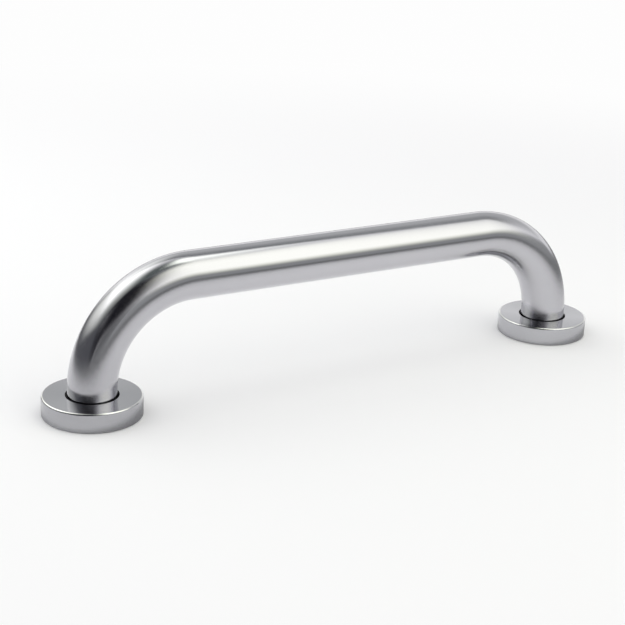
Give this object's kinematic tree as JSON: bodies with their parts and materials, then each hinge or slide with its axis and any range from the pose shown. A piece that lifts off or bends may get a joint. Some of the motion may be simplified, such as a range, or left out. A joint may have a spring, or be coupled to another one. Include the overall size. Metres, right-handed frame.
{
  "type": "grab bar",
  "caption": "Bent stainless tube grab bar with a welded screw flange at each end, hidden under push-on round covers that slide up the tube.",
  "frame": {"origin": "on the wall plane, midway between the centre lines of the two legs", "axes": "+X along the bar, +Z out of the wall towards the hand, +Y across the bar"},
  "size_m": [0.429, 0.065, 0.1],
  "materials": {
    "polished_tube": "semi-polished stainless steel with faint polishing lines round the tube",
    "satin_cover": "semi-polished stainless sheet with faint turned lines",
    "flange_plate": "mill finish stainless plate, heat coloured round the weld",
    "weld_metal": "rippled weld with slight heat tint"
  },
  "bodies": {
    "bar": {"bar_tube": "polished_tube", "left_mounting_flange": "flange_plate", "right_mounting_flange": "flange_plate", "left_weld_bead": "weld_metal", "right_weld_bead": "weld_metal"},
    "left_cover": {"left_flange_cover": "satin_cover"},
    "right_cover": {"right_flange_cover": "satin_cover"}
  },
  "joints": [
    {"name": "left_cover_slide", "type": "slide", "parent": "bar", "child": "left_cover", "axis": [0, 0, 1], "range_m": [0, 0.013]},
    {"name": "right_cover_slide", "type": "slide", "parent": "bar", "child": "right_cover", "axis": [0, 0, 1], "range_m": [0, 0.013]}
  ]
}
